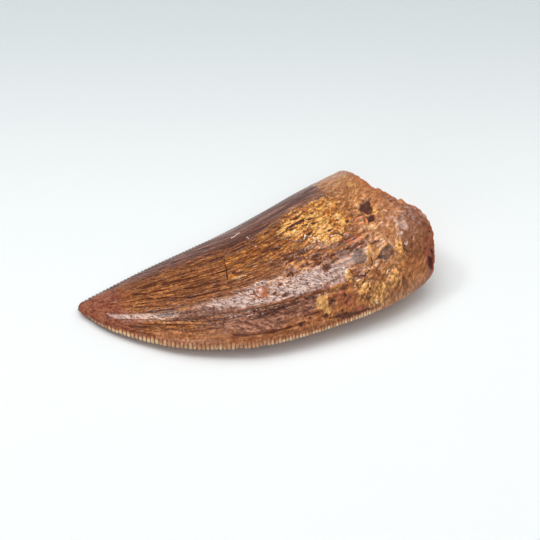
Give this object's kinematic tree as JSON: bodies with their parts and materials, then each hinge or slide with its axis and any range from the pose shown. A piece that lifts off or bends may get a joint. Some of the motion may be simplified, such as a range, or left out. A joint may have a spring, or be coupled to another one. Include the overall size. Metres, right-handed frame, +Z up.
{
  "type": "fossil dinosaur tooth",
  "caption": "Curved, flattened meat-eater's tooth with saw-edged keels front and back, broken off at the root, lying on its flank.",
  "frame": {"origin": "middle of the tooth's footprint, on the surface that it lies on", "axes": "+X from the tip towards the broken root, +Y towards the back (distal) keel, +Z up, out of the upper flank"},
  "size_m": [0.0494, 0.0267, 0.0106],
  "materials": {
    "fossil_enamel": "satin mineralised enamel, amber brown with dark grain, golden and pitted towards the root, pale along the serrations"
  },
  "bodies": {
    "root": {"tooth": "fossil_enamel"}
  },
  "joints": []
}
